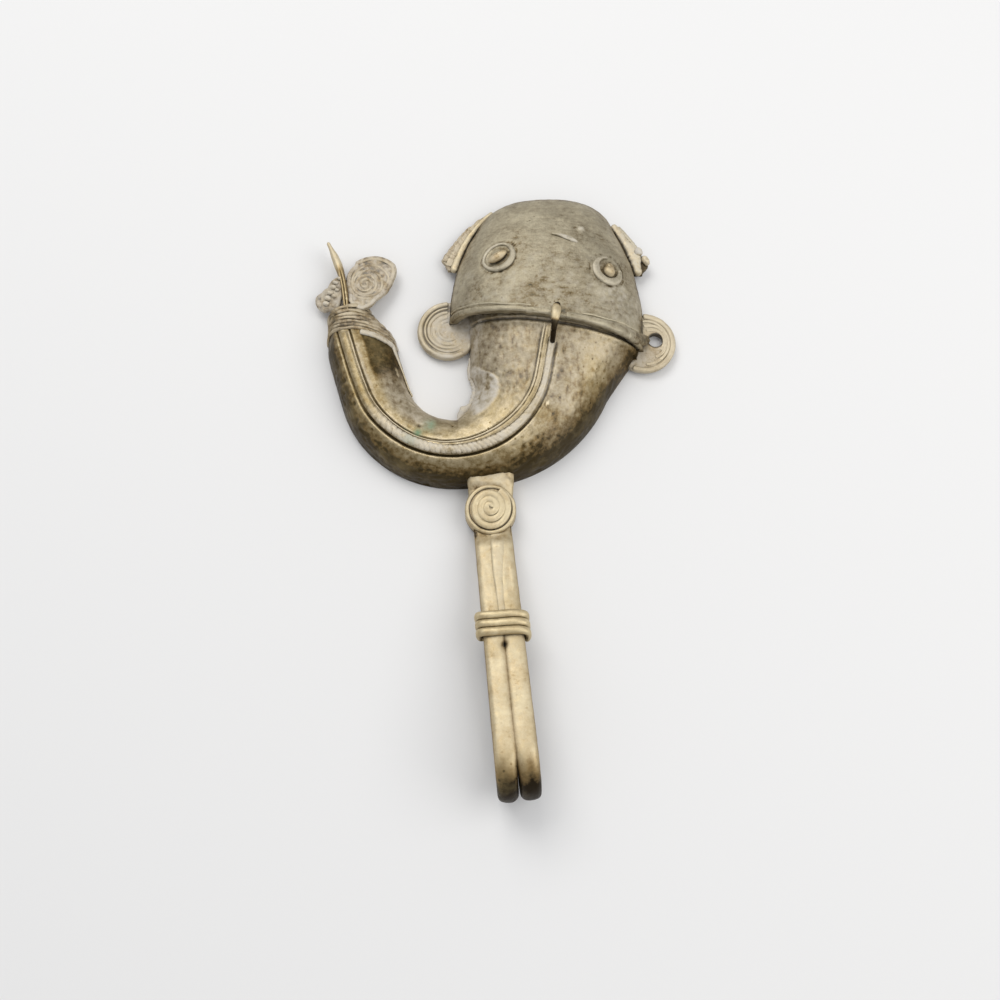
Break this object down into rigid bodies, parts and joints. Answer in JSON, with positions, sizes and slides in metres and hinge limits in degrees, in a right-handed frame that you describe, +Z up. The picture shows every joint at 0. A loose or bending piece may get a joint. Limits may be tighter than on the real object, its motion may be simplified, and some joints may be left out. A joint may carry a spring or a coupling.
{
  "type": "mudfish belt hook",
  "caption": "Cast brass mudfish with an open back, its tail curled round to its head, on a doubled shank that bends back into a hook.",
  "frame": {"origin": "centre of the footprint, on the surface that the figure lies on", "axes": "+Y from the hook's bend to the fish's snout, +Z up out of the modelled face, +X to the right as the face is looked at"},
  "size_m": [0.1152, 0.1914, 0.0247],
  "materials": {
    "dark_brass": "dark worn patina, rubbed bright on the high places",
    "grey_brass": "grey-brown patina with fine scratches",
    "polished_brass": "pale brass, rubbed by handling",
    "dusty_brass": "pale brass with whitish residue in the grooves"
  },
  "bodies": {
    "root": {"body_shell": "dark_brass", "boss": "polished_brass", "boss_coil": "polished_brass", "brow_ridge": "grey_brass", "collar": "polished_brass", "crest_band": "dark_brass", "crest_edge_thread": "dark_brass", "crest_rope": "dark_brass", "head_shell": "grey_brass", "left_barbel_lobe": "dusty_brass", "left_barbel_thread_1": "dusty_brass", "left_barbel_thread_2": "dusty_brass", "left_barbel_thread_3": "dusty_brass", "left_barbel_thread_4": "dusty_brass", "left_barbel_thread_5": "dusty_brass", "left_eye_bar": "grey_brass", "left_eye_ring": "grey_brass", "left_fin_bar": "polished_brass", "left_fin_plate": "dusty_brass", "left_fin_rope_1": "dusty_brass", "left_fin_rope_2": "dusty_brass", "lip_left": "grey_brass", "lip_right": "grey_brass", "lip_thread_left": "grey_brass", "lip_thread_right": "grey_brass", "mouth_ring": "polished_brass", "neck_flash": "dusty_brass", "right_barbel_lobe": "dusty_brass", "right_barbel_thread_1": "dusty_brass", "right_barbel_thread_2": "dusty_brass", "right_barbel_thread_3": "dusty_brass", "right_barbel_thread_4": "dusty_brass", "right_eye_pupil": "grey_brass", "right_eye_ring": "grey_brass", "right_fin_bar": "polished_brass", "right_fin_knob": "dusty_brass", "right_fin_plate": "dusty_brass", "right_fin_rope_1": "dusty_brass", "rod_left": "polished_brass", "rod_right": "polished_brass", "shank_binding": "polished_brass", "shank_wedge": "polished_brass", "tail_blade": "polished_brass", "tail_coil": "dusty_brass", "tail_disc": "dusty_brass", "tail_lobe": "dusty_brass", "tail_panel_thread": "dusty_brass", "tail_wrap_1": "dusty_brass", "tail_wrap_2": "dusty_brass", "tail_wrap_3": "dusty_brass", "tail_wrap_4": "dusty_brass", "tail_wrap_5": "dusty_brass", "tail_wrap_6": "dusty_brass", "tail_wrap_7": "dusty_brass"}
  },
  "joints": []
}
